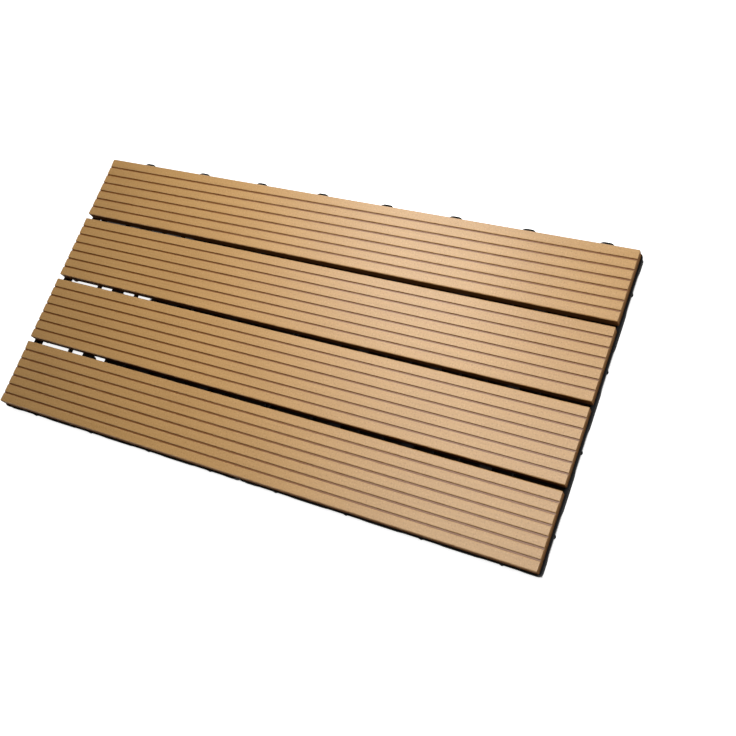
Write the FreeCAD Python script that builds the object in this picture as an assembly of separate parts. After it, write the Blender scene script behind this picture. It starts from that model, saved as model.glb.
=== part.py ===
import FreeCAD, Part
import math
import os

# Interlocking deck tile, in millimetres.
# X runs along the slats, Y across them and Z up. The origin lies on the ground,
# at the centre of the 600 by 300 space that one tile takes up in a laid floor.

# Grid that slats, loops and pegs share
bay = 75.0                # pitch of the slats, the loops and the pegs
bays = 4                  # bays along each side of a square base
base_count = 2            # square bases side by side under one set of slats
module = bay * bays       # side of the space that one base takes up

# Facets round a post, a screw, a boss and their holes
round_facets = 6

# Slats
slat_gap = 5.0            # open joint between slats, also across two tiles
slat_height = 10.0
slat_chamfer = 0.8        # along the top edges
slat_corner = 1.5         # cut off the corners, seen from above
groove_count = 6
groove_pitch = 10.0
groove_width = 2.0        # at the walking surface
groove_floor = 1.4        # at the bottom of the groove
groove_depth = 1.2

# Base: skirt and lip
base_height = 12.0        # ground to the underside of the slats
lip_inset = 0.8           # lip's face inside the edge of the module
lip_proud = 0.6           # how far the lip stands out from the skirt
lip_height = 1.5
skirt_wall = 2.4
corner_radius = 5.0       # of the lip, seen from above
corner_facets = 3
arch_crown_half = 15.0    # flat middle of the arch under the skirt, one to each bay
arch_slope = 8.0          # length of the slope on each side of the crown
arch_rise = 3.5

# Base: lattice under the slats
lattice_depth = 5.0
lattice_wall = 2.0
channel_width = 8.0       # clear space between the cells, below the open joints
rib_width = 2.0           # of the rib across the middle of each cell
bridge_width = 2.0        # of the bridges that cross a channel, below the open joints
bridge_offset = 12.5      # bridges to each side of a bay's centre

# Base: feet inside the skirt, and posts where the channels cross
foot_width = 8.6
foot_corner = 2.5         # cut off the foot's corners
foot_inset = 8.0          # centre of a foot inside the edge of the module
foot_drop = 2.0           # how far the feet reach below the skirt
foot_from_line = 9.0      # centre of a foot to the line between two bays
post_radius = 4.4

# Base: pegs and loops
peg_width = 4.4
peg_corner = 1.3          # cut off the peg's corners
peg_inset = 1.2           # peg's outer face inside the edge of the module
peg_play = 0.2            # peg to the sides of its slot, in the direction of pull
ground_clearance = 0.5    # under the pegs and loops
slot_width = 9.0          # along the edge, so that a peg can slide a little
loop_wall = 2.2           # between the slot and the tip
loop_side = 3.5           # between the slot and each side of the loop
loop_radius = 5.5         # of the two corners at the tip
loop_facets = 2           # round each of them
loop_thickness = 3.0
root_depth = 5.0          # block that ties a loop to the skirt
root_flare = 3.0          # how much wider the block is at its top

# Screws that hold the slats from below
screw_radius = 1.9
screw_length = 16.0       # under the head
screw_tip = 3.0
head_radius = 3.7
head_height = 2.2
boss_radius = 5.0
boss_wall = 8.8           # boss that the screw goes through
boss_play = 0.2           # screw to the hole in its boss
pilot_play = 0.1          # screw to the pilot hole in its slat
pilot_spare = 0.5         # pilot hole past the screw's tip

# Places and sizes that follow
half_module = module / 2
slat_width = bay - slat_gap
slat_length = base_count * module - slat_gap
tile_height = base_height + slat_height
skirt_inset = lip_inset + lip_proud
skirt_inner = half_module - skirt_inset - skirt_wall
lattice_bottom = base_height - lattice_depth
boss_bottom = base_height - boss_wall
screw_end = boss_bottom + screw_length
slot_start = peg_inset - peg_play
slot_end = peg_inset + peg_width + peg_play
loop_reach = slot_end + loop_wall
loop_top = ground_clearance + loop_thickness
bay_centres = [bay * (k - (bays - 1) / 2) for k in range(bays)]
bay_lines = [bay * (k - bays / 2) for k in range(1, bays)]
screw_lines = (bay_centres[0], bay_centres[-1])
base_centres = [module * (k - (base_count - 1) / 2) for k in range(base_count)]
quarter_turns = (0, 90, 180, 270)


def point(x, y, z=0.0):
    """Returns a point of the model."""
    return FreeCAD.Vector(x, y, z)


def moved(shape, x=0.0, y=0.0, z=0.0):
    """Returns a copy of a shape at another place."""
    copy = shape.copy()
    copy.translate(point(x, y, z))
    return copy


def turned(shape, angle):
    """Returns a copy of a shape, turned about the base's centre."""
    copy = shape.copy()
    copy.rotate(point(0, 0), point(0, 0, 1), angle)
    return copy


def outline(points):
    """Returns a closed wire through the points, at z = 0."""
    corners = [point(x, y) for x, y in points]
    return Part.makePolygon(corners + corners[:1])


def arc_points(x, y, radius, start, sweep, facets):
    """Returns points along an arc, given by its centre, radius and angles in degrees."""
    angles = [math.radians(start + sweep * k / facets) for k in range(facets + 1)]
    return [(x + radius * math.cos(a), y + radius * math.sin(a)) for a in angles]


def rounded_rectangle(half_x, half_y, radius, facets):
    """Returns a closed wire about the origin, with a few facets round each corner."""
    x = half_x - radius
    y = half_y - radius
    points = []
    for centre, start in zip(((x, y), (-x, y), (-x, -y), (x, -y)), quarter_turns):
        points += arc_points(*centre, radius, start, 90, facets)
    return outline(points)


def flat_sided(radius):
    """Returns the outline of a small round about the origin."""
    return outline(arc_points(0, 0, radius, 0, 360, round_facets)[:-1])


def rectangle(x0, x1, y0, y1):
    """Returns a closed rectangular wire."""
    return outline([(x0, y0), (x1, y0), (x1, y1), (x0, y1)])


def prism(wires, bottom, top):
    """Extrudes an outline, and the holes within it, from one height to another."""
    face = Part.makeFace(wires, "Part::FaceMakerBullseye")
    face.translate(point(0, 0, bottom))
    return face.extrude(point(0, 0, top - bottom))


def skirt_outline(inset):
    """Returns the base's outline at a distance inside the edge of the module."""
    half = half_module - inset
    return rounded_rectangle(half, half, corner_radius + lip_inset - inset, corner_facets)


def bridge_places():
    """Returns the bridges over a channel, without the ones next to the skirt."""
    places = [centre + side * bridge_offset for centre in bay_centres for side in (-1, 1)]
    return places[1:-1]


def cell_walls():
    """Returns the centres of the walls on both sides of each channel."""
    offset = (channel_width + lattice_wall) / 2
    return [line + side * offset for line in bay_lines for side in (-1, 1)]


def free_spans(members):
    """Returns the open spans that members, each a centre and a width, leave in a base."""
    spans = []
    start = -skirt_inner
    for centre, width in sorted(members):
        spans.append((start, centre - width / 2))
        start = centre + width / 2
    return spans + [(start, skirt_inner)]


def is_channel(span):
    """Says whether a span is one of the channels between cells."""
    return any(span[0] < line < span[1] for line in bay_lines)


def lattice():
    """Plate with windows: cells, and bridged channels that cross in solid pads."""
    walls = [(place, lattice_wall) for place in cell_walls()]
    ribs = [(place, rib_width) for place in bay_centres]
    bridges = [(place, bridge_width) for place in bridge_places()]
    windows = []
    for row in free_spans(walls):
        columns = free_spans(walls + (bridges if is_channel(row) else ribs))
        windows += [
            rectangle(*column, *row)
            for column in columns
            if not (is_channel(column) and is_channel(row))
        ]
    return prism([skirt_outline(skirt_inset)] + windows, lattice_bottom, base_height)


def skirt():
    """Wall round the base, with a lip at its top and an arch under each bay."""
    inner = skirt_outline(skirt_inset + skirt_wall)
    wall = prism([skirt_outline(skirt_inset), inner], foot_drop, base_height)
    edges = [skirt_outline(lip_inset), skirt_outline(skirt_inset)]
    lip = prism(edges, base_height - lip_height, base_height)
    springing = arch_crown_half + arch_slope
    crown = foot_drop + arch_rise
    arch = Part.Face(Part.makePolygon([
        point(-springing, half_module, foot_drop),
        point(-arch_crown_half, half_module, crown),
        point(arch_crown_half, half_module, crown),
        point(springing, half_module, foot_drop),
        point(-springing, half_module, foot_drop),
    ]))
    arch = arch.extrude(point(0, skirt_inner - half_module, 0))
    arches = [turned(moved(arch, x=centre), turn) for centre in bay_centres for turn in quarter_turns]
    return wall.fuse(lip).cut(arches)


def feet():
    """Feet along the skirt at the ends of each bay, and posts under the crossings."""
    half = foot_width / 2
    foot = prism([rounded_rectangle(half, half, foot_corner, 1)], 0, base_height)
    edge = half_module - foot_inset
    ends = [centre + side * (bay / 2 - foot_from_line) for centre in bay_centres for side in (-1, 1)]
    along = [turned(moved(foot, place, edge), turn) for place in ends[1:-1] for turn in quarter_turns]
    corners = [turned(moved(foot, edge, edge), turn) for turn in quarter_turns]
    post = prism([flat_sided(post_radius)], 0, base_height)
    posts = [moved(post, x, y) for x in bay_lines for y in bay_lines]
    return along + corners + posts


def peg():
    """Peg of the +Y side, at the middle of a bay, which drops into a neighbour's loop."""
    half = peg_width / 2
    section = rounded_rectangle(half, half, peg_corner, 1)
    return moved(prism([section], ground_clearance, lattice_bottom), y=half_module - peg_inset - half)


def loop():
    """Loop of the +Y side, with the block that ties it to the skirt."""
    side = slot_width / 2 + loop_side
    inner = half_module - skirt_inset - root_depth
    x = side - loop_radius
    y = half_module + loop_reach - loop_radius
    tip = arc_points(x, y, loop_radius, 0, 90, loop_facets)
    tip += arc_points(-x, y, loop_radius, 90, 90, loop_facets)
    slot = rectangle(-slot_width / 2, slot_width / 2, half_module + slot_start, half_module + slot_end)
    plate = prism([outline(tip + [(-side, inner), (side, inner)]), slot], ground_clearance, loop_top)
    top_side = side + root_flare
    root = Part.Face(Part.makePolygon([
        point(-side, inner, ground_clearance),
        point(side, inner, ground_clearance),
        point(top_side, inner, lattice_bottom),
        point(-top_side, inner, lattice_bottom),
        point(-side, inner, ground_clearance),
    ]))
    return plate.fuse(root.extrude(point(0, root_depth, 0)))


def screw_places():
    """Returns where the screws stand under one base: in its outermost cells."""
    return [(x, y) for x in screw_lines for y in bay_centres]


def base():
    """One moulded base, about the origin: loops at +Y and -X, pegs at -Y and +X."""
    loops = [turned(moved(loop(), x=centre), turn) for centre in bay_centres for turn in quarter_turns[:2]]
    pegs = [turned(moved(peg(), x=centre), turn) for centre in bay_centres for turn in quarter_turns[2:]]
    boss = prism([flat_sided(boss_radius)], boss_bottom, base_height)
    hole = prism([flat_sided(screw_radius + boss_play)], boss_bottom, base_height)
    bosses = [moved(boss, x, y) for x, y in screw_places()]
    holes = [moved(hole, x, y) for x, y in screw_places()]
    body = lattice().fuse([skirt()] + feet() + pegs + loops + bosses)
    return body.cut(holes).removeSplitter()


def tile_screws():
    """Returns where the screws stand under the whole tile."""
    return [(centre + x, y) for centre in base_centres for x, y in screw_places()]


def slat(centre):
    """One grooved slat, with pilot holes for its screws."""
    half = slat_width / 2
    groove_bottom = tile_height - groove_depth
    shoulder = tile_height - slat_chamfer
    section = [(-half, base_height), (-half, shoulder), (-half + slat_chamfer, tile_height)]
    for k in range(groove_count):
        middle = groove_pitch * (k - (groove_count - 1) / 2)
        section.append((middle - groove_width / 2, tile_height))
        section.append((middle - groove_floor / 2, groove_bottom))
        section.append((middle + groove_floor / 2, groove_bottom))
        section.append((middle + groove_width / 2, tile_height))
    section += [(half - slat_chamfer, tile_height), (half, shoulder), (half, base_height)]
    corners = [point(-slat_length / 2, y, z) for y, z in section]
    body = Part.Face(Part.makePolygon(corners + corners[:1])).extrude(point(slat_length, 0, 0))
    plan = prism([rounded_rectangle(slat_length / 2, half, slat_corner, 1)], base_height, tile_height)
    pilot = prism([flat_sided(screw_radius + pilot_play)], base_height, screw_end + pilot_spare)
    row = sorted({x for x, _ in tile_screws()})
    return moved(body.common(plan).cut([moved(pilot, x) for x in row]), y=centre).removeSplitter()


def screw():
    """Pan-headed screw about the origin, head down."""
    head = prism([flat_sided(head_radius)], boss_bottom - head_height, boss_bottom)
    shank = prism([flat_sided(screw_radius)], boss_bottom, screw_end - screw_tip)
    shoulder = moved(flat_sided(screw_radius), z=screw_end - screw_tip)
    tip = Part.makeLoft([shoulder, Part.Vertex(0, 0, screw_end)], True, True)
    return head.fuse([shank, tip]).removeSplitter()


def export(shape, name):
    """Writes one node of the tile."""
    shape.exportStep("parts/" + name + ".step")


def main():
    """Builds every node of the tile and writes it."""
    os.makedirs("parts", exist_ok=True)
    moulding = base()
    for name, centre in zip(("base_left", "base_right"), base_centres):
        export(moved(moulding, x=centre), name)
    for number, centre in enumerate(reversed(bay_centres), 1):
        export(slat(centre), "slat_" + str(number))
    one_screw = screw()
    export(Part.makeCompound([moved(one_screw, x, y) for x, y in tile_screws()]), "deck_screws")


main()
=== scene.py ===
import logging
import math
from dataclasses import dataclass
from enum import Enum

import bmesh
import bpy
from mathutils import Matrix, Vector


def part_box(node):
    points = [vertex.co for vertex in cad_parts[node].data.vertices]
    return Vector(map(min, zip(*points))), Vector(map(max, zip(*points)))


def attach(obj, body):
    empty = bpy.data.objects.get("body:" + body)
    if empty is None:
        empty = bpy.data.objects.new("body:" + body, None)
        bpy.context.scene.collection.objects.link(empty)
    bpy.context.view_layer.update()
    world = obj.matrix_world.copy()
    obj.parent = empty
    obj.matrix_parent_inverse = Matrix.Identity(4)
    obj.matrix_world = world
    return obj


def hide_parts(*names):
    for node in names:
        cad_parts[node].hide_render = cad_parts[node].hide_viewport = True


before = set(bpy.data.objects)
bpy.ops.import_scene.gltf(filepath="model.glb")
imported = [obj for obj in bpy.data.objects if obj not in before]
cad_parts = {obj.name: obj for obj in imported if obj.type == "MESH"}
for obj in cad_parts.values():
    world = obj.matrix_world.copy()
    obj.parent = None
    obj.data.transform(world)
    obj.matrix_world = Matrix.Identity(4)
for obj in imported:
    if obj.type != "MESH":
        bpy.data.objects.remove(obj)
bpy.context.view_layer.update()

MM = 0.001
BODY = "root"

Colour = tuple[float, float, float]
Place = tuple[float, float, float]

log = logging.getLogger("deck_tile")


class Turn(Enum):
    """Sides of a square base, as turns from its +Y side, in degrees."""

    FAR = 0
    LEFT = 90
    NEAR = 180
    RIGHT = 270


LOOP_SIDES = (Turn.FAR, Turn.LEFT)
PEG_SIDES = (Turn.NEAR, Turn.RIGHT)


@dataclass(frozen=True)
class Grid:
    """Grid that slats, loops, pegs and screws share.

    Args:
        bay: Pitch of slats, loops and pegs.
        bays: Bays along each side of a base.
        base_count: Bases side by side under one set of slats.
    """

    bay: float = 75 * MM
    bays: int = 4
    base_count: int = 2

    @property
    def half(self) -> float:
        """Half of the space that one base takes up."""
        return self.bay * self.bays / 2

    @property
    def centres(self) -> list[float]:
        """Centres of the bays, measured from the base's centre."""
        return [self.bay * (k - (self.bays - 1) / 2) for k in range(self.bays)]

    @property
    def lines(self) -> list[float]:
        """Lines between two bays."""
        return [self.bay * (k - self.bays / 2) for k in range(1, self.bays)]

    @property
    def base_centres(self) -> list[float]:
        """Centres of the bases along X."""
        return [2 * self.half * (k - (self.base_count - 1) / 2) for k in range(self.base_count)]

    @property
    def screw_places(self) -> list[tuple[float, float]]:
        """Places of the screws under one base, from its centre: in its outermost cells."""
        return [(x, y) for x in (self.centres[0], self.centres[-1]) for y in self.centres]


GRID = Grid()
GROUND = 0.0
DECK_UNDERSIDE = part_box("slat_1")[0].z
DECK_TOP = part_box("slat_1")[1].z


class Shape:
    """A piece in the making: closed shells in one bmesh, in metres and in the tile's frame."""

    def __init__(self) -> None:
        """Starts with no shell."""
        self.mesh = bmesh.new()

    def edges_of(self, verts: list[bmesh.types.BMVert]) -> list[bmesh.types.BMEdge]:
        """Finds the edges of a shell.

        Args:
            verts: The shell's vertices.

        Returns:
            The edges between them.
        """
        own = set(verts)
        return list({e for v in verts for e in v.link_edges if e.other_vert(v) in own})

    def round_off(self, verts: list[bmesh.types.BMVert], radius: float, segments: int = 2,
                  least_angle: float = 30.0) -> None:
        """Rounds the sharp edges of a shell.

        Args:
            verts: The shell's vertices.
            radius: Distance that the rounding takes from each edge.
            segments: Steps across the rounding.
            least_angle: Angle between two faces, in degrees, from which their edge is sharp.
        """
        limit = math.radians(least_angle)
        sharp = [e for e in self.edges_of(verts) if len(e.link_faces) == 2 and e.calc_face_angle() > limit]
        bmesh.ops.bevel(self.mesh, geom=sharp, offset=radius, offset_type="OFFSET", segments=segments,
                        affect="EDGES", profile=0.5, material=-1, clamp_overlap=True)

    def thicken(self, faces: list[bmesh.types.BMFace], depth: float) -> list[bmesh.types.BMVert]:
        """Makes a closed shell of flat faces, down from where they lie.

        Args:
            faces: Faces that lie in one plane of constant height.
            depth: Thickness of the shell.

        Returns:
            All the shell's vertices.
        """
        top = list({v for f in faces for v in f.verts})
        made = bmesh.ops.extrude_face_region(self.mesh, geom=faces, use_keep_orig=True)
        low = [g for g in made["geom"] if isinstance(g, bmesh.types.BMVert)]
        bmesh.ops.translate(self.mesh, vec=(0, 0, -depth), verts=low)
        return top + low

    def post(self, place: Place, radius: float, height: float, rounding: float, segments: int = 24,
             taper: float = 0.0) -> None:
        """Adds an upright round post.

        Args:
            place: Centre of its foot.
            radius: Radius at its foot.
            height: Height of the post.
            rounding: Rounding at both ends.
            segments: Sides of the post.
            taper: How much wider it is at its top.
        """
        middle = Vector(place) + Vector((0, 0, height / 2))
        made = bmesh.ops.create_cone(self.mesh, cap_ends=True, cap_tris=False, segments=segments,
                                     radius1=radius, radius2=radius + taper, depth=height,
                                     matrix=Matrix.Translation(middle))
        self.round_off(made["verts"], rounding, least_angle=50)

    def turn(self, profile: list[tuple[float, float]], segments: int, closed: bool = False) -> list[bmesh.types.BMVert]:
        """Adds a shell turned round the Z axis.

        Args:
            profile: Radius and height of each point.
            segments: Sides of the shell.
            closed: Whether the last point joins the first, as in a tube.

        Returns:
            The shell's vertices.
        """
        before = set(self.mesh.verts)
        verts = [self.mesh.verts.new((radius, 0, height)) for radius, height in profile]
        pairs = list(zip(verts, verts[1:] + verts[:1])) if closed else list(zip(verts, verts[1:]))
        edges = [self.mesh.edges.new(pair) for pair in pairs]
        bmesh.ops.spin(self.mesh, geom=verts + edges, cent=(0, 0, 0), axis=(0, 0, 1), dvec=(0, 0, 0),
                       angle=2 * math.pi, steps=segments, use_merge=True)
        new = [v for v in self.mesh.verts if v not in before]
        bmesh.ops.remove_doubles(self.mesh, verts=new, dist=0.002 * MM)
        bmesh.ops.recalc_face_normals(self.mesh, faces=self.mesh.faces)
        return [v for v in self.mesh.verts if v not in before]

    def join(self, part: "Shape", place: Matrix) -> None:
        """Adds a finished part.

        Args:
            part: The part, which stays as it is.
            place: Where it goes.
        """
        data = bpy.data.meshes.new("part")
        part.mesh.to_mesh(data)
        data.transform(place)
        self.mesh.from_mesh(data)
        bpy.data.meshes.remove(data)

    def object(self, name: str, material: bpy.types.Material) -> bpy.types.Object:
        """Makes the finished object, at the origin, with smooth faces and sharp corners.

        Args:
            name: Name of the piece.
            material: Its finish.

        Returns:
            The object, linked to the scene.
        """
        bmesh.ops.recalc_face_normals(self.mesh, faces=self.mesh.faces)
        data = bpy.data.meshes.new(name)
        self.mesh.to_mesh(data)
        self.mesh.free()
        data.shade_smooth()
        data.set_sharp_from_angle(angle=math.radians(35))
        data.materials.append(material)
        made = bpy.data.objects.new(name, data)
        bpy.context.scene.collection.objects.link(made)
        return made


class Graph:
    """Adds nodes to a tree and joins them."""

    def __init__(self, tree: bpy.types.NodeTree) -> None:
        """Holds the tree.

        Args:
            tree: Tree of a material, a world or a group.
        """
        self.tree = tree

    def add(self, kind: str, inputs: dict[str | int, object] | None = None, **settings: object) -> bpy.types.Node:
        """Adds a node.

        Args:
            kind: The node's type, without the leading "ShaderNode".
            inputs: Values or sockets for its inputs, by name or place.
            settings: Properties of the node.

        Returns:
            The new node.
        """
        node = self.tree.nodes.new("ShaderNode" + kind)
        for key, value in settings.items():
            setattr(node, key, value)
        for key, value in (inputs or {}).items():
            if isinstance(value, bpy.types.NodeSocket):
                self.tree.links.new(value, node.inputs[key])
            else:
                node.inputs[key].default_value = value
        return node

    def math(self, operation: str, first: object, second: object = 0.5, clamp: bool = False) -> object:
        """Adds a sum of two values.

        Args:
            operation: What is done with them.
            first: A socket or a number.
            second: A socket or a number.
            clamp: Whether the result stays between 0 and 1.

        Returns:
            The result's socket.
        """
        return self.add("Math", {0: first, 1: second}, operation=operation, use_clamp=clamp).outputs[0]

    def spread(self, value: object, low: float, high: float, to_low: float = 0.0, to_high: float = 1.0) -> object:
        """Maps a range of values to another, with soft ends.

        Args:
            value: Socket of the value.
            low: Value that becomes to_low.
            high: Value that becomes to_high.
            to_low: Lower result.
            to_high: Upper result.

        Returns:
            The result's socket.
        """
        made = self.add("MapRange", {"Value": value, "From Min": low, "From Max": high,
                                     "To Min": to_low, "To Max": to_high}, interpolation_type="SMOOTHSTEP")
        return made.outputs["Result"]

    def blend(self, share: object, first: object, second: object, kind: str = "MIX") -> object:
        """Mixes two colours.

        Args:
            share: Share of the second colour.
            first: Socket or colour.
            second: Socket or colour.
            kind: How they are mixed.

        Returns:
            The mixed colour's socket.
        """
        made = self.add("Mix", {}, data_type="RGBA", blend_type=kind)
        for place, value in ((0, share), (6, first), (7, second)):
            if isinstance(value, bpy.types.NodeSocket):
                self.tree.links.new(value, made.inputs[place])
            elif place == 0:
                made.inputs[place].default_value = value
            else:
                made.inputs[place].default_value = (*value, 1.0)
        return made.outputs[2]


class Effect(Enum):
    """Effects that several finishes use, each a node group."""

    GRAIN = "streaks_and_speckle"
    EDGES = "rubbed_edges"


class Effects:
    """Node groups of the effects, each built once."""

    def __init__(self) -> None:
        """Builds every group."""
        self.groups = {Effect.GRAIN: self.grain(), Effect.EDGES: self.edges()}

    @staticmethod
    def start(effect: Effect, inputs: dict[str, float], outputs: list[str]) -> tuple[Graph, object, object]:
        """Starts a group.

        Args:
            effect: The effect that it makes.
            inputs: Names and default values of its inputs.
            outputs: Names of its outputs.

        Returns:
            The group's graph, its input node and its output node.
        """
        tree = bpy.data.node_groups.new(effect.value, "ShaderNodeTree")
        for name, value in inputs.items():
            socket = tree.interface.new_socket(name, in_out="INPUT", socket_type="NodeSocketFloat")
            socket.default_value = value
        for name in outputs:
            tree.interface.new_socket(name, in_out="OUTPUT", socket_type="NodeSocketFloat")
        graph = Graph(tree)
        source = tree.nodes.new("NodeGroupInput")
        target = tree.nodes.new("NodeGroupOutput")
        return graph, source, target

    @classmethod
    def grain(cls) -> bpy.types.NodeTree:
        """Builds long streaks, fine speckle and large soft patches.

        Returns:
            The group, which puts out three values from 0 to 1.
        """
        graph, source, target = cls.start(
            Effect.GRAIN, {"Along": 8.0, "Across": 500.0, "Speckle": 900.0, "Patch": 9.0, "Seed": 0.0},
            ["Streaks", "Speckle", "Patches"])
        place = graph.add("TexCoord").outputs["Object"]
        scale = graph.add("CombineXYZ", {"X": source.outputs["Along"], "Y": source.outputs["Across"],
                                         "Z": source.outputs["Across"]}).outputs[0]
        stretched = graph.add("VectorMath", {0: place, 1: scale}, operation="MULTIPLY").outputs[0]
        streaks = graph.add("TexNoise", {"Vector": stretched, "W": source.outputs["Seed"], "Scale": 1.0,
                                         "Detail": 3.0, "Roughness": 0.6}, noise_dimensions="4D")
        speckle = graph.add("TexNoise", {"Vector": place, "W": source.outputs["Seed"],
                                         "Scale": source.outputs["Speckle"], "Detail": 2.0,
                                         "Roughness": 0.7}, noise_dimensions="4D")
        patches = graph.add("TexNoise", {"Vector": place, "W": source.outputs["Seed"],
                                         "Scale": source.outputs["Patch"], "Detail": 3.0,
                                         "Roughness": 0.5}, noise_dimensions="4D")
        for name, node in (("Streaks", streaks), ("Speckle", speckle), ("Patches", patches)):
            spread = graph.spread(node.outputs["Fac"], 0.25, 0.75)
            graph.tree.links.new(spread, target.inputs[name])
        return graph.tree

    @classmethod
    def edges(cls) -> bpy.types.NodeTree:
        """Builds a mask of the roundings between upright and level faces.

        Returns:
            The group, which puts out a value from 0 to 1.
        """
        graph, source, target = cls.start(Effect.EDGES, {"Patch": 60.0}, ["Rubbed"])
        coordinates = graph.add("TexCoord")
        normal = graph.add("SeparateXYZ", {0: coordinates.outputs["Normal"]})
        steep = graph.math("ABSOLUTE", normal.outputs["Z"])
        rise = graph.spread(steep, 0.12, 0.45)
        fall = graph.spread(steep, 0.8, 0.985, 1.0, 0.0)
        noise = graph.add("TexNoise", {"Vector": coordinates.outputs["Object"],
                                       "Scale": source.outputs["Patch"], "Detail": 4.0, "Roughness": 0.6})
        worn = graph.spread(noise.outputs["Fac"], 0.35, 0.6)
        mask = graph.math("MULTIPLY", graph.math("MULTIPLY", rise, fall), worn, clamp=True)
        graph.tree.links.new(mask, target.inputs["Rubbed"])
        return graph.tree

    def place(self, graph: Graph, effect: Effect, values: dict[str, float]) -> bpy.types.Node:
        """Places a group in a material.

        Args:
            graph: The material's graph.
            effect: The effect.
            values: Values for its inputs.

        Returns:
            The group's node.
        """
        return graph.add("Group", values, node_tree=self.groups[effect])


@dataclass(frozen=True)
class Finish:
    """Base of the finishes: a name and how rough the surface is.

    Args:
        name: Name of the material.
        roughness: Roughness in the middle of its range.
    """

    name: str
    roughness: float

    def start(self) -> tuple[bpy.types.Material, Graph, bpy.types.Node]:
        """Starts a material.

        Returns:
            The material, its graph and its surface shader.
        """
        material = bpy.data.materials.new(self.name)
        material.use_nodes = True
        graph = Graph(material.node_tree)
        shader = material.node_tree.nodes["Principled BSDF"]
        return material, graph, shader

    def relief(self, graph: Graph, shader: bpy.types.Node, height: object, distance: float,
               strength: float) -> None:
        """Gives the surface its fine relief.

        Args:
            graph: The material's graph.
            shader: Its surface shader.
            height: Socket of the height.
            distance: Height in metres that a value of 1 stands for.
            strength: Share of the relief that shows.
        """
        bump = graph.add("Bump", {"Strength": strength, "Distance": distance, "Height": height})
        graph.tree.links.new(bump.outputs["Normal"], shader.inputs["Normal"])


@dataclass(frozen=True)
class WoodPlastic(Finish):
    """Wood-plastic composite: brushed along the slat; darker in the grooves, which are not brushed and also carry
    painted shade, with painted shade on its sides and browner sawn ends that darken into painted shade low down.

    Args:
        light: Colour of the lighter streaks.
        dark: Colour of the darker streaks.
        groove: Colour of dark flecks, and of the grooves' floors, which are not brushed and are darkened further as
            painted shade.
        wall: Colour of the grooves' walls, a painted shade.
        side: Colour of the slat's sides, a painted shade.
        sawn: Colour of the sawn ends, browner than the face and partly a painted shade.
        shine_index: Refractive index of the brushed faces' shine.
        seed: Number that sets this slat's own pattern.
    """

    light: Colour = (0.630, 0.356, 0.117)
    dark: Colour = (0.486, 0.258, 0.076)
    groove: Colour = (0.260, 0.088, 0.004)
    wall: Colour = (0.090, 0.022, 0.001)
    side: Colour = (0.150, 0.058, 0.014)
    sawn: Colour = (0.345, 0.170, 0.062)
    shine_index: float = 1.86
    seed: float = 0.0

    def make(self, effects: Effects) -> bpy.types.Material:
        """Builds the material.

        Args:
            effects: The shared node groups.

        Returns:
            The material.
        """
        material, graph, shader = self.start()
        grain = effects.place(graph, Effect.GRAIN, {"Along": 14.0, "Across": 480.0, "Speckle": 680.0,
                                                    "Patch": 11.0, "Seed": self.seed})
        worn = effects.place(graph, Effect.EDGES, {"Patch": 90.0}).outputs["Rubbed"]
        streaks = grain.outputs["Streaks"]
        speckle = grain.outputs["Speckle"]
        tone = graph.math("ADD", graph.math("MULTIPLY", streaks, 0.30),
                          graph.math("MULTIPLY", grain.outputs["Patches"], 0.25))
        tone = graph.math("ADD", tone, graph.math("MULTIPLY", speckle, 0.45))
        face = graph.blend(tone, self.dark, self.light)
        flecks = graph.spread(speckle, 0.0, 0.32, 0.42, 0.0)
        face = graph.blend(flecks, face, self.groove)
        fibres = graph.spread(speckle, 0.70, 1.0, 0.0, 0.28)
        face = graph.blend(fibres, face, (0.80, 0.60, 0.36))
        coordinates = graph.add("TexCoord")
        height = graph.add("SeparateXYZ", {0: coordinates.outputs["Object"]}).outputs["Z"]
        normal = graph.add("SeparateXYZ", {0: coordinates.outputs["Normal"]})
        # Faces more than 0.7 mm below the top take recess colours: groove floors are not brushed and also carry painted
        # shade; groove walls and the slat's sides are painted shade.
        in_groove = graph.spread(height, DECK_TOP - 0.7 * MM, DECK_TOP - 0.1 * MM, 1.0, 0.0)
        recess_colour_and_shade = graph.blend(graph.spread(normal.outputs["Z"], 0.45, 0.85), self.wall, self.groove)
        recess_colour_and_shade = graph.blend(graph.spread(normal.outputs["Z"], 0.06, 0.20), self.side, recess_colour_and_shade)
        upward = graph.spread(normal.outputs["Z"], -0.5, -0.1)
        face = graph.blend(graph.math("MULTIPLY", in_groove, upward), face, recess_colour_and_shade)
        # The sawn ends are browner and partly painted shade, and they darken towards the bottom into the side colour, a
        # painted shade.
        facing_end = graph.spread(graph.math("ABSOLUTE", normal.outputs["X"]), 0.8, 0.98)
        darker_towards_bottom = graph.spread(height, DECK_TOP - 6.5 * MM, DECK_TOP - 3.5 * MM, 0.75, 0.0)
        end = graph.blend(darker_towards_bottom, self.sawn, self.side)
        face = graph.blend(graph.math("MULTIPLY", facing_end, 0.9), face, end)
        face = graph.blend(graph.math("MULTIPLY", worn, 0.35), face, (0.70, 0.45, 0.22))
        graph.tree.links.new(face, shader.inputs["Base Color"])
        level = graph.spread(normal.outputs["Z"], 0.45, 0.9)
        graph.tree.links.new(level, shader.inputs["Coat Weight"])
        shader.inputs["Coat Roughness"].default_value = self.roughness
        shader.inputs["Coat IOR"].default_value = self.shine_index
        shader.inputs["Specular IOR Level"].default_value = 0.06
        graph.tree.links.new(graph.spread(streaks, 0.0, 1.0, 0.7, 0.9), shader.inputs["Roughness"])
        brushed = graph.math("ADD", graph.math("MULTIPLY", streaks, 0.6), graph.math("MULTIPLY", speckle, 0.4))
        self.relief(graph, shader, brushed, 0.12 * MM, 0.5)
        return material


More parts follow.
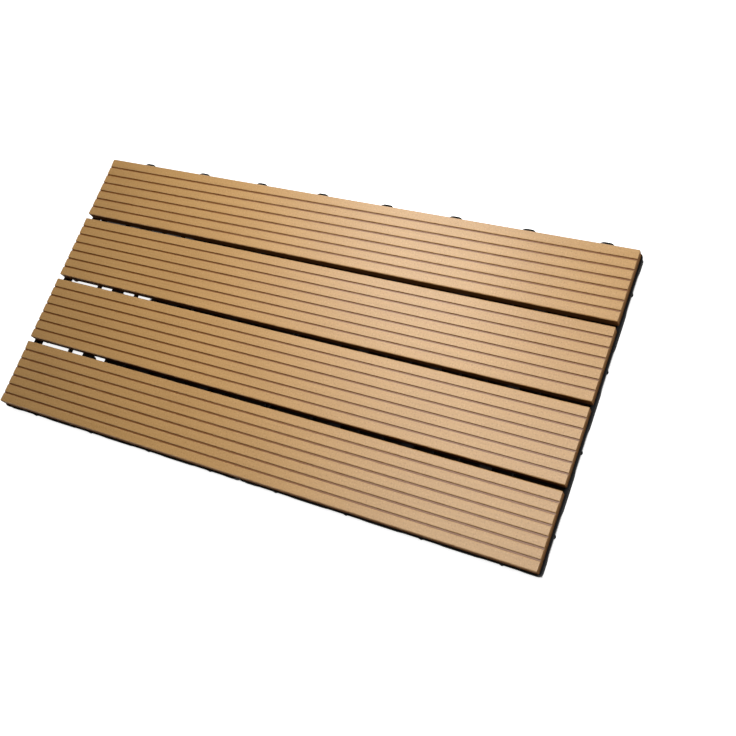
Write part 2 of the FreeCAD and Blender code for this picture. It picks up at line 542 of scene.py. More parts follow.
@dataclass(frozen=True)
class BlackPlastic(Finish):
    """Satin black polypropylene with a fine mould texture and rubbed edges.

    Args:
        colour: Colour of the moulding.
        rubbed_colour: Colour of the rubbed edges.
    """

    colour: Colour = (0.007, 0.007, 0.008)
    rubbed_colour: Colour = (0.040, 0.039, 0.038)

    def make(self, effects: Effects) -> bpy.types.Material:
        """Builds the material.

        Args:
            effects: The shared node groups.

        Returns:
            The material.
        """
        material, graph, shader = self.start()
        grain = effects.place(graph, Effect.GRAIN, {"Along": 260.0, "Across": 260.0, "Speckle": 2400.0,
                                                    "Patch": 28.0, "Seed": 3.0})
        worn = effects.place(graph, Effect.EDGES, {"Patch": 140.0}).outputs["Rubbed"]
        normal = graph.add("SeparateXYZ", {0: graph.add("TexCoord").outputs["Normal"]})
        level = graph.spread(graph.math("ABSOLUTE", normal.outputs["Z"]), 0.2, 0.8, 0.0, 0.16)
        graph.tree.links.new(level, shader.inputs["Coat Weight"])
        shader.inputs["Coat Roughness"].default_value = self.roughness
        shader.inputs["Specular IOR Level"].default_value = 0.01
        dusty = graph.math("MULTIPLY", grain.outputs["Patches"], 0.35)
        face = graph.blend(dusty, self.colour, (0.016, 0.015, 0.014))
        face = graph.blend(graph.math("MULTIPLY", worn, 0.6), face, self.rubbed_colour)
        graph.tree.links.new(face, shader.inputs["Base Color"])
        uneven = graph.math("ADD", graph.math("MULTIPLY", grain.outputs["Patches"], 0.6),
                            graph.math("MULTIPLY", grain.outputs["Speckle"], 0.4))
        rough = graph.spread(uneven, 0.0, 1.0, self.roughness - 0.10, self.roughness + 0.12)
        graph.tree.links.new(rough, shader.inputs["Roughness"])
        relief = graph.math("ADD", graph.math("MULTIPLY", grain.outputs["Speckle"], 0.35),
                            graph.math("MULTIPLY", grain.outputs["Streaks"], 0.65))
        self.relief(graph, shader, relief, 0.06 * MM, 0.45)
        return material


@dataclass(frozen=True)
class ZincPlate(Finish):
    """Zinc-plated steel with a faint yellow cast and fine scratches.

    Args:
        colour: Colour of the clean plating.
        dull_colour: Colour of its dull spots.
    """

    colour: Colour = (0.74, 0.74, 0.72)
    dull_colour: Colour = (0.46, 0.44, 0.38)

    def make(self, effects: Effects) -> bpy.types.Material:
        """Builds the material.

        Args:
            effects: The shared node groups.

        Returns:
            The material.
        """
        material, graph, shader = self.start()
        shader.inputs["Metallic"].default_value = 1.0
        grain = effects.place(graph, Effect.GRAIN, {"Along": 900.0, "Across": 2600.0, "Speckle": 5200.0,
                                                    "Patch": 420.0, "Seed": 7.0})
        face = graph.blend(grain.outputs["Patches"], self.colour, self.dull_colour)
        graph.tree.links.new(face, shader.inputs["Base Color"])
        rough = graph.spread(grain.outputs["Streaks"], 0.0, 1.0, self.roughness - 0.08, self.roughness + 0.14)
        graph.tree.links.new(rough, shader.inputs["Roughness"])
        self.relief(graph, shader, grain.outputs["Speckle"], 0.02 * MM, 0.4)
        return material


@dataclass
class Slat:
    """One grooved slat, in the place of its CAD node.

    Args:
        node: Name of the CAD node.
        groove_count: Grooves along the slat.
        groove_pitch: Distance between two grooves.
        groove_width: Width at the walking surface.
        groove_floor: Width at the bottom.
        groove_depth: Depth of a groove.
        chamfer: Size of the chamfer along the top edges.
        corner: Rounding of the corners, seen from above.
        end_chamfer: Chamfer at the top of the sawn ends.
        softness: Rounding of every edge.
        pilot_radius: Radius of the pilot holes.
        pilot_depth: Depth of the pilot holes.
    """

    node: str
    groove_count: int = 6
    groove_pitch: float = 10 * MM
    groove_width: float = 2.0 * MM
    groove_floor: float = 1.4 * MM
    groove_depth: float = 1.2 * MM
    chamfer: float = 0.8 * MM
    corner: float = 1.5 * MM
    end_chamfer: float = 0.5 * MM
    softness: float = 0.15 * MM
    pilot_radius: float = 1.95 * MM
    pilot_depth: float = 7.7 * MM

    def section(self, shape: Shape) -> bmesh.types.BMFace:
        """Draws the slat's section at its left end.

        Args:
            shape: The piece in the making.

        Returns:
            The section's face.
        """
        low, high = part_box(self.node)
        middle = (low.y + high.y) / 2
        half = (high.y - low.y) / 2
        floor = high.z - self.groove_depth
        points = [(-half, low.z), (-half, high.z - self.chamfer), (-half + self.chamfer, high.z)]
        for k in range(self.groove_count):
            groove = self.groove_pitch * (k - (self.groove_count - 1) / 2)
            points.append((groove - self.groove_width / 2, high.z))
            points.append((groove - self.groove_floor / 2, floor))
            points.append((groove + self.groove_floor / 2, floor))
            points.append((groove + self.groove_width / 2, high.z))
        points += [(half - self.chamfer, high.z), (half, high.z - self.chamfer), (half, low.z)]
        return shape.mesh.faces.new([shape.mesh.verts.new((low.x, middle + y, z)) for y, z in points])

    def drill(self, shape: Shape) -> None:
        """Adds the pilot holes to the underside.

        Args:
            shape: The slat, with its edges rounded.
        """
        low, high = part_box(self.node)
        middle = (low.y + high.y) / 2
        under = min(shape.mesh.faces, key=lambda f: (f.calc_center_median().z, -f.calc_area()))
        rim = list(under.edges)
        bmesh.ops.delete(shape.mesh, geom=[under], context="FACES_ONLY")
        rows = sorted({base + x for base in GRID.base_centres for x, _ in GRID.screw_places})
        holes = []
        for x in rows:
            made = bmesh.ops.create_circle(shape.mesh, cap_ends=False, segments=20, radius=self.pilot_radius,
                                           matrix=Matrix.Translation((x, middle, low.z)))
            holes.append(shape.edges_of(made["verts"]))
        bmesh.ops.triangle_fill(shape.mesh, use_beauty=True, edges=rim + [e for hole in holes for e in hole])
        for hole in holes:
            made = bmesh.ops.extrude_edge_only(shape.mesh, edges=hole)
            up = [g for g in made["geom"] if isinstance(g, bmesh.types.BMVert)]
            bmesh.ops.translate(shape.mesh, vec=(0, 0, self.pilot_depth), verts=up)
            bmesh.ops.contextual_create(shape.mesh, geom=shape.edges_of(up))

    def build(self, material: bpy.types.Material) -> bpy.types.Object:
        """Builds the slat and lets it stand for its node.

        Args:
            material: The slat's finish.

        Returns:
            The slat.
        """
        low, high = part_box(self.node)
        shape = Shape()
        face = self.section(shape)
        made = bmesh.ops.extrude_face_region(shape.mesh, geom=[face], use_keep_orig=True)
        far = [g for g in made["geom"] if isinstance(g, bmesh.types.BMVert)]
        bmesh.ops.translate(shape.mesh, vec=(high.x - low.x, 0, 0), verts=far)
        bmesh.ops.recalc_face_normals(shape.mesh, faces=shape.mesh.faces)
        upright = [e for e in shape.mesh.edges
                   if abs(e.verts[0].co.y - e.verts[1].co.y) < 1e-6 and abs(e.verts[0].co.x - e.verts[1].co.x) < 1e-6]
        bmesh.ops.bevel(shape.mesh, geom=upright, offset=self.corner, offset_type="OFFSET", segments=4,
                        affect="EDGES", profile=0.5, material=-1, clamp_overlap=True)
        ends = [e for e in shape.mesh.edges if all(min(abs(v.co.x - low.x), abs(v.co.x - high.x)) < 1e-6
                                                   and v.co.z > high.z - 1e-6 for v in e.verts)]
        bmesh.ops.bevel(shape.mesh, geom=ends, offset=self.end_chamfer, offset_type="OFFSET", segments=1,
                        affect="EDGES", profile=0.5, material=-1, clamp_overlap=True)
        shape.round_off(list(shape.mesh.verts), self.softness, least_angle=25)
        self.drill(shape)
        made = shape.object(self.node + "_board", material)
        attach(made, BODY)
        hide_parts(self.node)
        return made


@dataclass
class BaseMoulding:
    """One square base: lattice, skirt with arches, feet, posts, pegs, loops and screw bosses.

    Args:
        node: Name of the CAD node.
        centre: Centre of the base along X.
        lip_inset: Lip's face inside the edge of the module.
        lip_proud: How far the lip stands out from the skirt.
        lip_height: Height of the lip.
        skirt_wall: Thickness of the skirt.
        skirt_bottom: Ground to the skirt's lower edge.
        corner_radius: Rounding of the lip's corners, seen from above.
        crown_half: Half of the arch's level middle.
        slope: Length of the slope on each side of the crown.
        rise: Height of the arch.
        arch_steps: Steps along one bay of the skirt.
        depth: Depth of the lattice.
        wall: Thickness of the cells' walls, the ribs and the bridges.
        channel: Clear width of a channel.
        bridge_offset: Bridges to each side of a bay's centre.
        foot_radius: Radius of a foot.
        foot_inset: Centre of a foot inside the edge of the module.
        foot_from_line: Centre of a foot to the line between two bays.
        post_radius: Radius of a post under a crossing.
        peg_radius: Radius of a peg.
        peg_inset: Peg's outer face inside the edge of the module.
        clearance: Ground to the pegs and loops.
        slot_width: Width of a loop's slot, along the edge.
        slot_start: Slot's near side past the edge of the module.
        slot_end: Slot's far side past the edge of the module.
        loop_wall: Wall at the loop's tip.
        loop_side: Wall at the loop's sides.
        loop_radius: Rounding of the loop's tip.
        loop_thickness: Thickness of a loop.
        root_depth: Depth of the block that ties a loop to the skirt.
        root_flare: How much wider the block is at its top.
        boss_radius: Outer radius of a screw boss.
        boss_hole: Radius of the hole in it.
        boss_height: Height of a boss.
        softness: Rounding of the moulding's edges.
        seam: How far shells run into each other, so that no two faces share a plane.
    """

    node: str
    centre: float
    lip_inset: float = 0.8 * MM
    lip_proud: float = 0.6 * MM
    lip_height: float = 1.5 * MM
    skirt_wall: float = 2.4 * MM
    skirt_bottom: float = 2.0 * MM
    corner_radius: float = 5.0 * MM
    crown_half: float = 15.0 * MM
    slope: float = 8.0 * MM
    rise: float = 3.5 * MM
    arch_steps: int = 32
    depth: float = 5.0 * MM
    wall: float = 2.0 * MM
    channel: float = 8.0 * MM
    bridge_offset: float = 12.5 * MM
    foot_radius: float = 4.4 * MM
    foot_inset: float = 8.0 * MM
    foot_from_line: float = 9.0 * MM
    post_radius: float = 4.2 * MM
    peg_radius: float = 2.2 * MM
    peg_inset: float = 1.2 * MM
    clearance: float = 0.5 * MM
    slot_width: float = 9.0 * MM
    slot_start: float = 1.0 * MM
    slot_end: float = 5.8 * MM
    loop_wall: float = 2.2 * MM
    loop_side: float = 3.5 * MM
    loop_radius: float = 5.5 * MM
    loop_thickness: float = 3.0 * MM
    root_depth: float = 5.0 * MM
    root_flare: float = 3.0 * MM
    boss_radius: float = 4.8 * MM
    boss_hole: float = 2.0 * MM
    boss_height: float = 8.8 * MM
    softness: float = 0.25 * MM
    seam: float = 0.03 * MM

    @property
    def skirt_inset(self) -> float:
        """Skirt's outer face inside the edge of the module."""
        return self.lip_inset + self.lip_proud

    @property
    def inner(self) -> float:
        """Base's centre to the skirt's inner face."""
        return GRID.half - self.skirt_inset - self.skirt_wall

    @property
    def lattice_bottom(self) -> float:
        """Height of the lattice's underside."""
        return DECK_UNDERSIDE - self.depth

    def members(self, in_channel: bool) -> list[tuple[float, float]]:
        """Lists what stands across a row of windows.

        Args:
            in_channel: Whether the row is a channel between cells.

        Returns:
            Lowest and highest place of each wall, rib or bridge.
        """
        offset = (self.channel + self.wall) / 2
        walls = [line + side * offset for line in GRID.lines for side in (-1, 1)]
        bridges = [centre + side * self.bridge_offset for centre in GRID.centres for side in (-1, 1)][1:-1]
        places = walls + (bridges if in_channel else GRID.centres)
        return [(place - self.wall / 2, place + self.wall / 2) for place in places]

    def in_channel(self, place: float) -> bool:
        """Says whether a place lies in a channel."""
        return any(abs(place - line) < self.channel / 2 for line in GRID.lines)

    def is_window(self, x: float, y: float) -> bool:
        """Says whether a point of the lattice is open.

        Args:
            x: Place along X, from the base's centre.
            y: Place along Y.

        Returns:
            True inside a window.
        """
        if max(abs(x), abs(y)) > self.inner or (self.in_channel(x) and self.in_channel(y)):
            return False
        rows = self.members(in_channel=False)[: 2 * len(GRID.lines)]
        in_wall = any(low < y < high for low, high in rows)
        return not in_wall and not any(low < x < high for low, high in self.members(self.in_channel(y)))

    def lattice(self, shape: Shape) -> None:
        """Adds the plate with windows: cells, and bridged channels that cross in solid pads.

        Args:
            shape: The piece in the making.
        """
        half = GRID.half - self.skirt_inset - self.skirt_wall / 2
        made = bmesh.ops.create_grid(shape.mesh, x_segments=1, y_segments=1, size=half,
                                     matrix=Matrix.Translation((0, 0, DECK_UNDERSIDE - self.seam)))
        corner = self.corner_radius - self.lip_proud - self.skirt_wall / 2
        bmesh.ops.bevel(shape.mesh, geom=made["verts"], offset=corner, offset_type="OFFSET", segments=3,
                        affect="VERTICES", profile=0.5, material=-1)
        across = sorted({edge for row in (False, True) for span in self.members(row) for edge in span})
        along = sorted({edge for span in self.members(False)[: 2 * len(GRID.lines)] for edge in span})
        cuts = [(place, (1, 0, 0)) for place in [-self.inner, *across, self.inner]]
        cuts += [(place, (0, 1, 0)) for place in [-self.inner, *along, self.inner]]
        for place, normal in cuts:
            every = [*shape.mesh.verts, *shape.mesh.edges, *shape.mesh.faces]
            bmesh.ops.bisect_plane(shape.mesh, geom=every, dist=1e-7, plane_co=Vector(normal) * place,
                                   plane_no=normal)
        middles = {f: f.calc_center_median() for f in shape.mesh.faces}
        windows = [f for f, middle in middles.items() if self.is_window(middle.x, middle.y)]
        bmesh.ops.delete(shape.mesh, geom=windows, context="FACES")
        verts = shape.thicken(list(shape.mesh.faces), self.depth)
        bmesh.ops.recalc_face_normals(shape.mesh, faces=shape.mesh.faces)
        shape.round_off(verts, self.softness)

    def ring(self, shape: Shape) -> list[bmesh.types.BMEdge]:
        """Draws the skirt's outer edge, with steps along its sides for the arches.

        Args:
            shape: The piece in the making.

        Returns:
            The ring's edges.
        """
        corner = self.corner_radius - self.lip_proud
        made = bmesh.ops.create_grid(shape.mesh, x_segments=1, y_segments=1, size=GRID.half - self.skirt_inset,
                                     matrix=Matrix.Translation((0, 0, self.skirt_bottom)))
        bmesh.ops.bevel(shape.mesh, geom=made["verts"], offset=corner, offset_type="OFFSET", segments=6,
                        affect="VERTICES", profile=0.5, material=-1)
        sides = [e for e in shape.mesh.edges if e.calc_length() > GRID.half]
        bmesh.ops.subdivide_edges(shape.mesh, edges=sides, cuts=GRID.bays * self.arch_steps - 1)
        bmesh.ops.delete(shape.mesh, geom=list(shape.mesh.faces), context="FACES_ONLY")
        return list(shape.mesh.edges)

    def arch(self, x: float, y: float) -> float:
        """Gives the height of the arch over the skirt's lower edge.

        Args:
            x: Place along X, from the base's centre.
            y: Place along Y.

        Returns:
            The height, 0 between two arches.
        """
        along = x if abs(y) > abs(x) else y
        if min(abs(x), abs(y)) > self.inner - self.corner_radius:
            return 0.0
        away = min(abs(along - centre) for centre in GRID.centres)
        share = min(1.0, max(0.0, (self.crown_half + self.slope - away) / self.slope))
        return self.rise * share * share * (3 - 2 * share)

    def skirt(self, shape: Shape) -> None:
        """Adds the wall round the base, with its lip and an arch under each bay.

        Args:
            shape: The piece in the making.
        """
        under_lip = DECK_UNDERSIDE - self.lip_height
        inside = self.skirt_inset + self.skirt_wall
        stations = [(self.skirt_inset, under_lip), (self.lip_inset, under_lip), (self.lip_inset, DECK_UNDERSIDE),
                    (inside, DECK_UNDERSIDE), (inside, self.skirt_bottom), (self.skirt_inset, self.skirt_bottom)]
        core = GRID.half - self.lip_inset - self.corner_radius
        wall = Shape()
        ring = self.ring(wall)
        for inset, height in stations:
            made = bmesh.ops.extrude_edge_only(wall.mesh, edges=ring)["geom"]
            new = {g for g in made if isinstance(g, bmesh.types.BMVert)}
            ring = [g for g in made if isinstance(g, bmesh.types.BMEdge) and new.issuperset(g.verts)]
            for vert in new:
                near = Vector([max(-core, min(core, c)) for c in vert.co.xy])
                place = near + (vert.co.xy - near).normalized() * (GRID.half - inset - core)
                vert.co = (place.x, place.y, height)
        bmesh.ops.remove_doubles(wall.mesh, verts=wall.mesh.verts, dist=0.01 * MM)
        for vert in wall.mesh.verts:
            if vert.co.z < self.skirt_bottom + MM:
                vert.co.z += self.arch(vert.co.x, vert.co.y)
        bmesh.ops.recalc_face_normals(wall.mesh, faces=wall.mesh.faces)
        wall.round_off(list(wall.mesh.verts), self.softness, least_angle=50)
        shape.join(wall, Matrix.Identity(4))

    def feet(self, shape: Shape) -> None:
        """Adds the feet along the skirt and the posts under the crossings.

        Args:
            shape: The piece in the making.
        """
        edge = GRID.half - self.foot_inset
        ends = [centre + side * (GRID.bay / 2 - self.foot_from_line) for centre in GRID.centres for side in (-1, 1)]
        foot = Shape()
        height = DECK_UNDERSIDE - 2 * self.seam
        foot.post((0, 0, GROUND), self.foot_radius, height, 0.5 * MM)
        for turn in Turn:
            spin = Matrix.Rotation(math.radians(turn.value), 4, "Z")
            for along in [*ends[1:-1], edge]:
                shape.join(foot, spin @ Matrix.Translation((along, edge, 0)))
        for x in GRID.lines:
            for y in GRID.lines:
                shape.post((x, y, GROUND), self.post_radius, self.lattice_bottom + self.seam, 0.5 * MM)

    def loop(self) -> Shape:
        """Builds a loop of the +Y side with the flared block that ties it to the skirt.

        Returns:
            The loop, at the middle of that side.
        """
        side = self.slot_width / 2 + self.loop_side
        start = GRID.half - self.skirt_inset - self.root_depth
        tip = GRID.half + self.slot_end + self.loop_wall
        top = self.clearance + self.loop_thickness
        shape = Shape()
        slot = self.rounded_face(shape, (-self.slot_width / 2, self.slot_width / 2),
                                 (GRID.half + self.slot_start, GRID.half + self.slot_end), top, 1.2 * MM)
        rim = list(slot.edges)
        bmesh.ops.delete(shape.mesh, geom=[slot], context="FACES_ONLY")
        plate = self.rounded_face(shape, (-side, side), (start, tip), top, self.loop_radius, only_beyond=GRID.half)
        outer = list(plate.edges)
        bmesh.ops.delete(shape.mesh, geom=[plate], context="FACES_ONLY")
        filled = bmesh.ops.triangle_fill(shape.mesh, use_beauty=True, edges=rim + outer)
        faces = [g for g in filled["geom"] if isinstance(g, bmesh.types.BMFace)]
        verts = shape.thicken(faces, self.loop_thickness)
        bmesh.ops.recalc_face_normals(shape.mesh, faces=shape.mesh.faces)
        shape.round_off(verts, 0.45 * MM, segments=3, least_angle=50)
        height = self.lattice_bottom + self.seam - self.clearance
        middle = (0, start + self.root_depth / 2, self.clearance + height / 2)
        size = Matrix.Diagonal((2 * side, self.root_depth, height, 1))
        block = bmesh.ops.create_cube(shape.mesh, size=1, matrix=Matrix.Translation(middle) @ size)["verts"]
        for vert in block:
            if vert.co.z > middle[2]:
                vert.co.x *= 1 + self.root_flare / side
        shape.round_off(block, 0.45 * MM, segments=3)
        return shape

    @staticmethod
    def rounded_face(shape: Shape, across: tuple[float, float], along: tuple[float, float], height: float,
                     radius: float, only_beyond: float = -math.inf) -> bmesh.types.BMFace:
        """Draws a level face with rounded corners.

        Args:
            shape: The piece in the making.
            across: Its lowest and highest x.
            along: Its lowest and highest y.
            height: Its height.
            radius: Rounding of the corners.
            only_beyond: Corners with a lower y stay sharp.

        Returns:
            The face.
        """
        places = [(across[0], along[0]), (across[1], along[0]), (across[1], along[1]), (across[0], along[1])]
        verts = [shape.mesh.verts.new((x, y, height)) for x, y in places]
        shape.mesh.faces.new(verts)
        corners = [v for v in verts if v.co.y > only_beyond]
        made = bmesh.ops.bevel(shape.mesh, geom=corners, offset=radius, offset_type="OFFSET", segments=8,
                               affect="VERTICES", profile=0.5, material=-1)
        touched = {f for v in made["verts"] for f in v.link_faces}
        return max(touched, key=lambda f: f.calc_area())

    def bosses(self, shape: Shape) -> None:
        """Adds the tubes that the screws go through.

        Args:
            shape: The piece in the making.
        """
        low = DECK_UNDERSIDE - self.boss_height
        top = DECK_UNDERSIDE - 3 * self.seam
        tube = Shape()
        verts = tube.turn([(self.boss_hole, low), (self.boss_radius, low), (self.boss_radius, top),
                           (self.boss_hole, top)], segments=28, closed=True)
        tube.round_off(verts, 0.3 * MM, least_angle=50)
        for x, y in GRID.screw_places:
            shape.join(tube, Matrix.Translation((x, y, 0)))

    def build(self, material: bpy.types.Material) -> bpy.types.Object:
        """Builds the moulding and lets it stand for its node.

        Args:
            material: Its finish.

        Returns:
            The base.
        """
        shape = Shape()
        self.lattice(shape)
        self.skirt(shape)
        self.feet(shape)
        self.bosses(shape)
        peg = Shape()
        peg.post((0, GRID.half - self.peg_inset - self.peg_radius, self.clearance), self.peg_radius,
                 self.lattice_bottom + self.seam - self.clearance, 0.5 * MM)
        loop = self.loop()
        for sides, part in ((PEG_SIDES, peg), (LOOP_SIDES, loop)):
            for turn in sides:
                spin = Matrix.Rotation(math.radians(turn.value), 4, "Z")
                for along in GRID.centres:
                    shape.join(part, spin @ Matrix.Translation((along, 0, 0)))
        bmesh.ops.translate(shape.mesh, vec=(self.centre, 0, 0), verts=shape.mesh.verts)
        made = shape.object(self.node + "_moulding", material)
        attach(made, BODY)
        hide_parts(self.node)
        return made


@dataclass
class DeckScrews:
    """Pan-headed screws with a cross recess and a thread, driven from below.

    Args:
        node: Name of the CAD node.
        head_radius: Radius of the head.
        head_height: Height of the head.
        core_radius: Radius of the shank under the thread.
        thread_radius: Radius over the thread.
        pitch: Pitch of the thread.
        tip: Length of the tapered tip.
        recess_reach: Half of the cross recess.
        recess_width: Width of its slots.
        recess_depth: Depth of the recess.
    """

    node: str = "deck_screws"
    head_radius: float = 3.55 * MM
    head_height: float = 2.2 * MM
    core_radius: float = 1.35 * MM
    thread_radius: float = 1.85 * MM
    pitch: float = 1.5 * MM
    tip: float = 3.0 * MM
    recess_reach: float = 2.1 * MM
    recess_width: float = 0.9 * MM
    recess_depth: float = 1.5 * MM

    def body(self, bottom: float, top: float) -> Shape:
        """Builds head and shank.

        Args:
            bottom: Height of the head's top, which points down.
            top: Height of the tip.

        Returns:
            The shape, about the origin.
        """
        r = self.head_radius
        seat = bottom + self.head_height
        profile = [(0, bottom), (0.55 * r, bottom + 0.02 * MM), (0.8 * r, bottom + 0.25 * MM),
                   (0.95 * r, bottom + 0.7 * MM), (r, bottom + 1.3 * MM), (r, seat - 0.25 * MM),
                   (0.96 * r, seat), (self.core_radius + 0.15 * MM, seat), (self.core_radius, seat + 0.2 * MM),
                   (self.core_radius, top - self.tip), (0.5 * self.core_radius, top - 0.35 * self.tip), (0, top)]
        shape = Shape()
        shape.turn(profile, segments=32)
        return shape

    def thread(self, start: float, end: float) -> Shape:
        """Builds the thread's ridge.

        Args:
            start: Height of its first turn.
            end: Height of its last turn.

        Returns:
            The ridge, about the origin.
        """
        steps_a_turn = 20
        turns = (end - start) / self.pitch
        foot = 0.45 * self.pitch
        sunk = self.core_radius - 0.1 * MM
        shape = Shape()
        section = [(sunk, -foot), (self.thread_radius, -0.05 * MM), (self.thread_radius, 0.05 * MM), (sunk, foot)]
        verts = [shape.mesh.verts.new((radius, 0, start + height)) for radius, height in section]
        face = shape.mesh.faces.new(verts)
        steps = round(turns * steps_a_turn)
        bmesh.ops.spin(shape.mesh, geom=[face, *face.edges, *verts], cent=(0, 0, 0), axis=(0, 0, 1),
                       dvec=(0, 0, self.pitch / steps_a_turn), angle=2 * math.pi * steps / steps_a_turn,
                       steps=steps, use_merge=False)
        bmesh.ops.recalc_face_normals(shape.mesh, faces=shape.mesh.faces)
        return shape

    def cutter(self, bottom: float) -> Shape:
        """Builds the cross that is pressed into the head.

        Args:
            bottom: Height of the head's top.

        Returns:
            Two crossed wedges.
        """
        shape = Shape()
        depth = 2 * self.recess_depth
        for turn in (0, 90):
            place = Matrix.Rotation(math.radians(turn), 4, "Z") @ Matrix.Translation((0, 0, bottom))
            size = Matrix.Diagonal((2 * self.recess_reach, self.recess_width, depth, 1))
            for vert in bmesh.ops.create_cube(shape.mesh, size=1, matrix=place @ size)["verts"]:
                if vert.co.z > bottom:
                    vert.co.x *= 0.55
                    vert.co.y *= 0.55
        return shape

    def recessed(self, body: Shape, cutter: Shape) -> bpy.types.Mesh:
        """Cuts the recess into the head.

        Args:
            body: Head and shank.
            cutter: The cross.

        Returns:
            The cut mesh.
        """
        made = []
        for name, shape in (("screw_body", body), ("screw_cross", cutter)):
            data = bpy.data.meshes.new(name)
            shape.mesh.to_mesh(data)
            made.append(bpy.data.objects.new(name, data))
            bpy.context.scene.collection.objects.link(made[-1])
        cut = made[0].modifiers.new("cross", "BOOLEAN")
        cut.operation = "DIFFERENCE"
        cut.solver = "EXACT"
        cut.use_self = True
        cut.object = made[1]
        seen = made[0].evaluated_get(bpy.context.evaluated_depsgraph_get())
        result = bpy.data.meshes.new_from_object(seen)
        for item in made:
            bpy.data.objects.remove(item)
        return result

    def build(self, material: bpy.types.Material) -> bpy.types.Object:
        """Builds all the screws and lets them stand for their node.

        Args:
            material: Their finish.

        Returns:
            The screws, one piece of separate shells.
        """
        low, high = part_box(self.node)
        one = self.recessed(self.body(low.z, high.z), self.cutter(low.z))
        ridge = self.thread(low.z + self.head_height + 2.2 * MM, high.z - 0.75 * self.tip)
        screw = Shape()
        screw.mesh.from_mesh(one)
        screw.join(ridge, Matrix.Identity(4))
        shape = Shape()
        places = [(base + x, y) for base in GRID.base_centres for x, y in GRID.screw_places]
        for number, (x, y) in enumerate(places):
            turn = Matrix.Rotation(math.radians(37 * number), 4, "Z")
            shape.join(screw, Matrix.Translation((x, y, 0)) @ turn)
        made = shape.object("deck_screws_driven", material)
        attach(made, BODY)
        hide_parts(self.node)
        return made


@dataclass(frozen=True)
class SoftBox:
    """Square lamp that hangs level and faces down.

    Args:
        name: Name of the lamp.
        place: Its centre.
        side: Length of its sides.
        power: Its power in watts.
    """

    name: str
    place: Place
    side: float
    power: float

    def hang(self) -> None:
        """Hangs the lamp in the scene."""
        data = bpy.data.lights.new(self.name, "AREA")
        data.shape = "SQUARE"
        data.size = self.side
        data.energy = self.power
        made = bpy.data.objects.new(self.name, data)
        made.location = self.place
        bpy.context.scene.collection.objects.link(made)


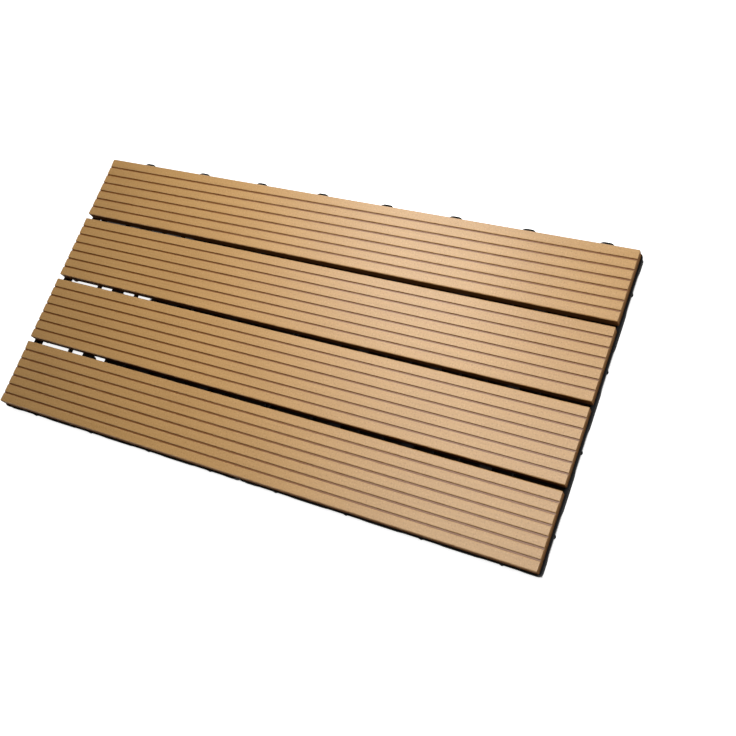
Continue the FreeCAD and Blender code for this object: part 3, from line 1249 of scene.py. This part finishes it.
@dataclass
class Studio:
    """Pale floor, soft light and the camera.

    Args:
        lamps: Soft boxes over the deck.
        camera_place: Where the camera stands.
        camera_aim: Point of the deck that it looks at.
        camera_roll: Turn about its line of sight, in degrees.
        lens: Focal length on a sensor 36 mm wide.
    """

    lamps: tuple[SoftBox, ...] = (
        SoftBox("lamp_far", (-0.10, 0.30, 0.47), 0.3, 1.51),
        SoftBox("lamp_middle", (0.04, -0.04, 0.50), 0.3, 0.88),
        SoftBox("lamp_right", (0.40, 0.05, 0.60), 0.3, 2.00),
    )
    camera_place: Place = (0.50487, -0.25043, 0.85576)
    camera_aim: Place = (0.09103, -0.01623, 0.022)
    camera_roll: float = -42.895
    lens: float = 51.13

    def camera(self) -> None:
        """Stands the camera at the photograph's angle."""
        data = bpy.data.cameras.new("camera")
        data.lens = self.lens
        data.sensor_width = 36.0
        data.clip_start = 0.01
        made = bpy.data.objects.new("camera", data)
        bpy.context.scene.collection.objects.link(made)
        place = Vector(self.camera_place)
        sight = Vector(self.camera_aim) - place
        turn = sight.to_track_quat("-Z", "Y").to_matrix().to_4x4()
        made.matrix_world = Matrix.Translation(place) @ turn @ Matrix.Rotation(math.radians(self.camera_roll), 4, "Z")
        bpy.context.scene.camera = made

    @staticmethod
    def seen(graph: Graph) -> object:
        """Tells rays that see the background from those that carry light.

        Args:
            graph: Graph of the floor or the world.

        Returns:
            A socket that is 1 for rays from the camera, a mirror or a glass.
        """
        path = graph.add("LightPath")
        direct = graph.math("ADD", path.outputs["Is Camera Ray"], path.outputs["Is Glossy Ray"], clamp=True)
        return graph.math("ADD", direct, path.outputs["Is Transmission Ray"], clamp=True)

    @staticmethod
    def painted_light_mask(graph: Graph) -> object:
        """Paints the floor's light and shade: open floor round the tile, a painted shadow under it, and a painted pool
        of light under its near left.

        Args:
            graph: Graph of the floor.

        Returns:
            A socket: 1 round the tile and in the painted light under its near left, 0 in the painted shadow under the
                tile.
        """
        place = graph.add("SeparateXYZ", {0: graph.add("TexCoord").outputs["Object"]})
        x, y = place.outputs["X"], place.outputs["Y"]
        # Open floor round the tile's outline; inside the outline the floor is painted shadow.
        across = graph.spread(graph.math("ABSOLUTE", y), 0.146, 0.149)
        along = graph.spread(graph.math("ABSOLUTE", x), 0.296, 0.299)
        # Painted pool of light under the tile's near left, seen through its windows.
        slanted = graph.math("SUBTRACT", x, graph.math("MULTIPLY", y, 0.27))
        left = graph.spread(slanted, -0.192, -0.188, 1.0, 0.0)
        near = graph.spread(y, 0.020, 0.050, 1.0, 0.05)
        return graph.math("MAXIMUM", graph.math("MAXIMUM", across, along), graph.math("MULTIPLY", left, near))

    def floor(self) -> None:
        """Lays a pale floor that keeps the tile's cast shadow, and adds a painted shadow and a painted pool of light
        under the tile.
        """
        bm = bmesh.new()
        bmesh.ops.create_grid(bm, x_segments=1, y_segments=1, size=6.0)
        data = bpy.data.meshes.new("floor")
        bm.to_mesh(data)
        bm.free()
        made = bpy.data.objects.new("floor", data)
        bpy.context.scene.collection.objects.link(made)
        material = bpy.data.materials.new("pale_floor")
        material.use_nodes = True
        graph = Graph(material.node_tree)
        nodes = material.node_tree.nodes
        nodes.clear()
        painted_light_mask = self.painted_light_mask(graph)
        # Under the tile the floor's own colour turns dark: a painted shadow on top of the cast one.
        diffuse = graph.add("BsdfDiffuse", {"Color": graph.blend(painted_light_mask, (0.03, 0.025, 0.02), (0.86, 0.86, 0.86))})
        # The white glow for camera rays fades out under the tile (painted shadow) and stays under its near left
        # (painted light).
        glow = graph.add("Emission", {"Color": (1, 1, 1, 1), "Strength": graph.math("MULTIPLY", painted_light_mask, 0.88)})
        both = graph.add("AddShader", {0: diffuse.outputs[0], 1: glow.outputs[0]})
        mix = graph.add("MixShader", {0: self.seen(graph), 1: diffuse.outputs[0], 2: both.outputs[0]})
        graph.add("OutputMaterial", {"Surface": mix.outputs[0]})
        data.materials.append(material)

    def world(self) -> None:
        """Fills the room with even pale light."""
        world = bpy.data.worlds.new("room")
        world.use_nodes = True
        graph = Graph(world.node_tree)
        world.node_tree.nodes.clear()
        way = graph.add("SeparateXYZ", {0: graph.add("TexCoord").outputs["Generated"]})
        overhead = graph.spread(way.outputs["Z"], 0.10, 0.40)
        ceiling = graph.blend(overhead, (1.0, 1.0, 1.0), (0.08, 0.08, 0.08))
        soft = graph.add("Background", {"Color": (1, 1, 1, 1), "Strength": 0.10})
        white = graph.add("Background", {"Color": ceiling, "Strength": 1.0})
        mix = graph.add("MixShader", {0: self.seen(graph), 1: soft.outputs[0], 2: white.outputs[0]})
        graph.add("OutputWorld", {"Surface": mix.outputs[0]})
        bpy.context.scene.world = world

    def build(self) -> None:
        """Sets up the whole studio."""
        bpy.context.scene.view_settings.view_transform = "Standard"
        self.world()
        self.floor()
        for lamp in self.lamps:
            lamp.hang()
        self.camera()


def corners(box: tuple[Vector, Vector]) -> list[list[float]]:
    """Turns a box's corners into plain lists."""
    return [list(point) for point in box]


def main() -> None:
    """Builds the tile's looks, piece by piece, and the studio."""
    logging.basicConfig(level=logging.INFO, format="%(name)s: %(message)s")
    effects = Effects()
    nodes = sorted(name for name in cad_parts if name.startswith("slat_"))
    for number, node in enumerate(nodes):
        finish = WoodPlastic(name=f"wood_plastic_{number + 1}", roughness=0.43, seed=1.7 * number)
        made = Slat(node).build(finish.make(effects))
        log.info("%s: %d faces", made.name, len(made.data.polygons))
    plastic = BlackPlastic(name="black_plastic", roughness=0.55).make(effects)
    for node, centre in zip(("base_left", "base_right"), GRID.base_centres):
        made = BaseMoulding(node, centre).build(plastic)
        log.info("%s: %d faces", made.name, len(made.data.polygons))
    zinc = ZincPlate(name="zinc_plate", roughness=0.32).make(effects)
    made = DeckScrews().build(zinc)
    log.info("%s: %d faces", made.name, len(made.data.polygons))
    Studio().build()


if __name__ == "__main__":
    main()
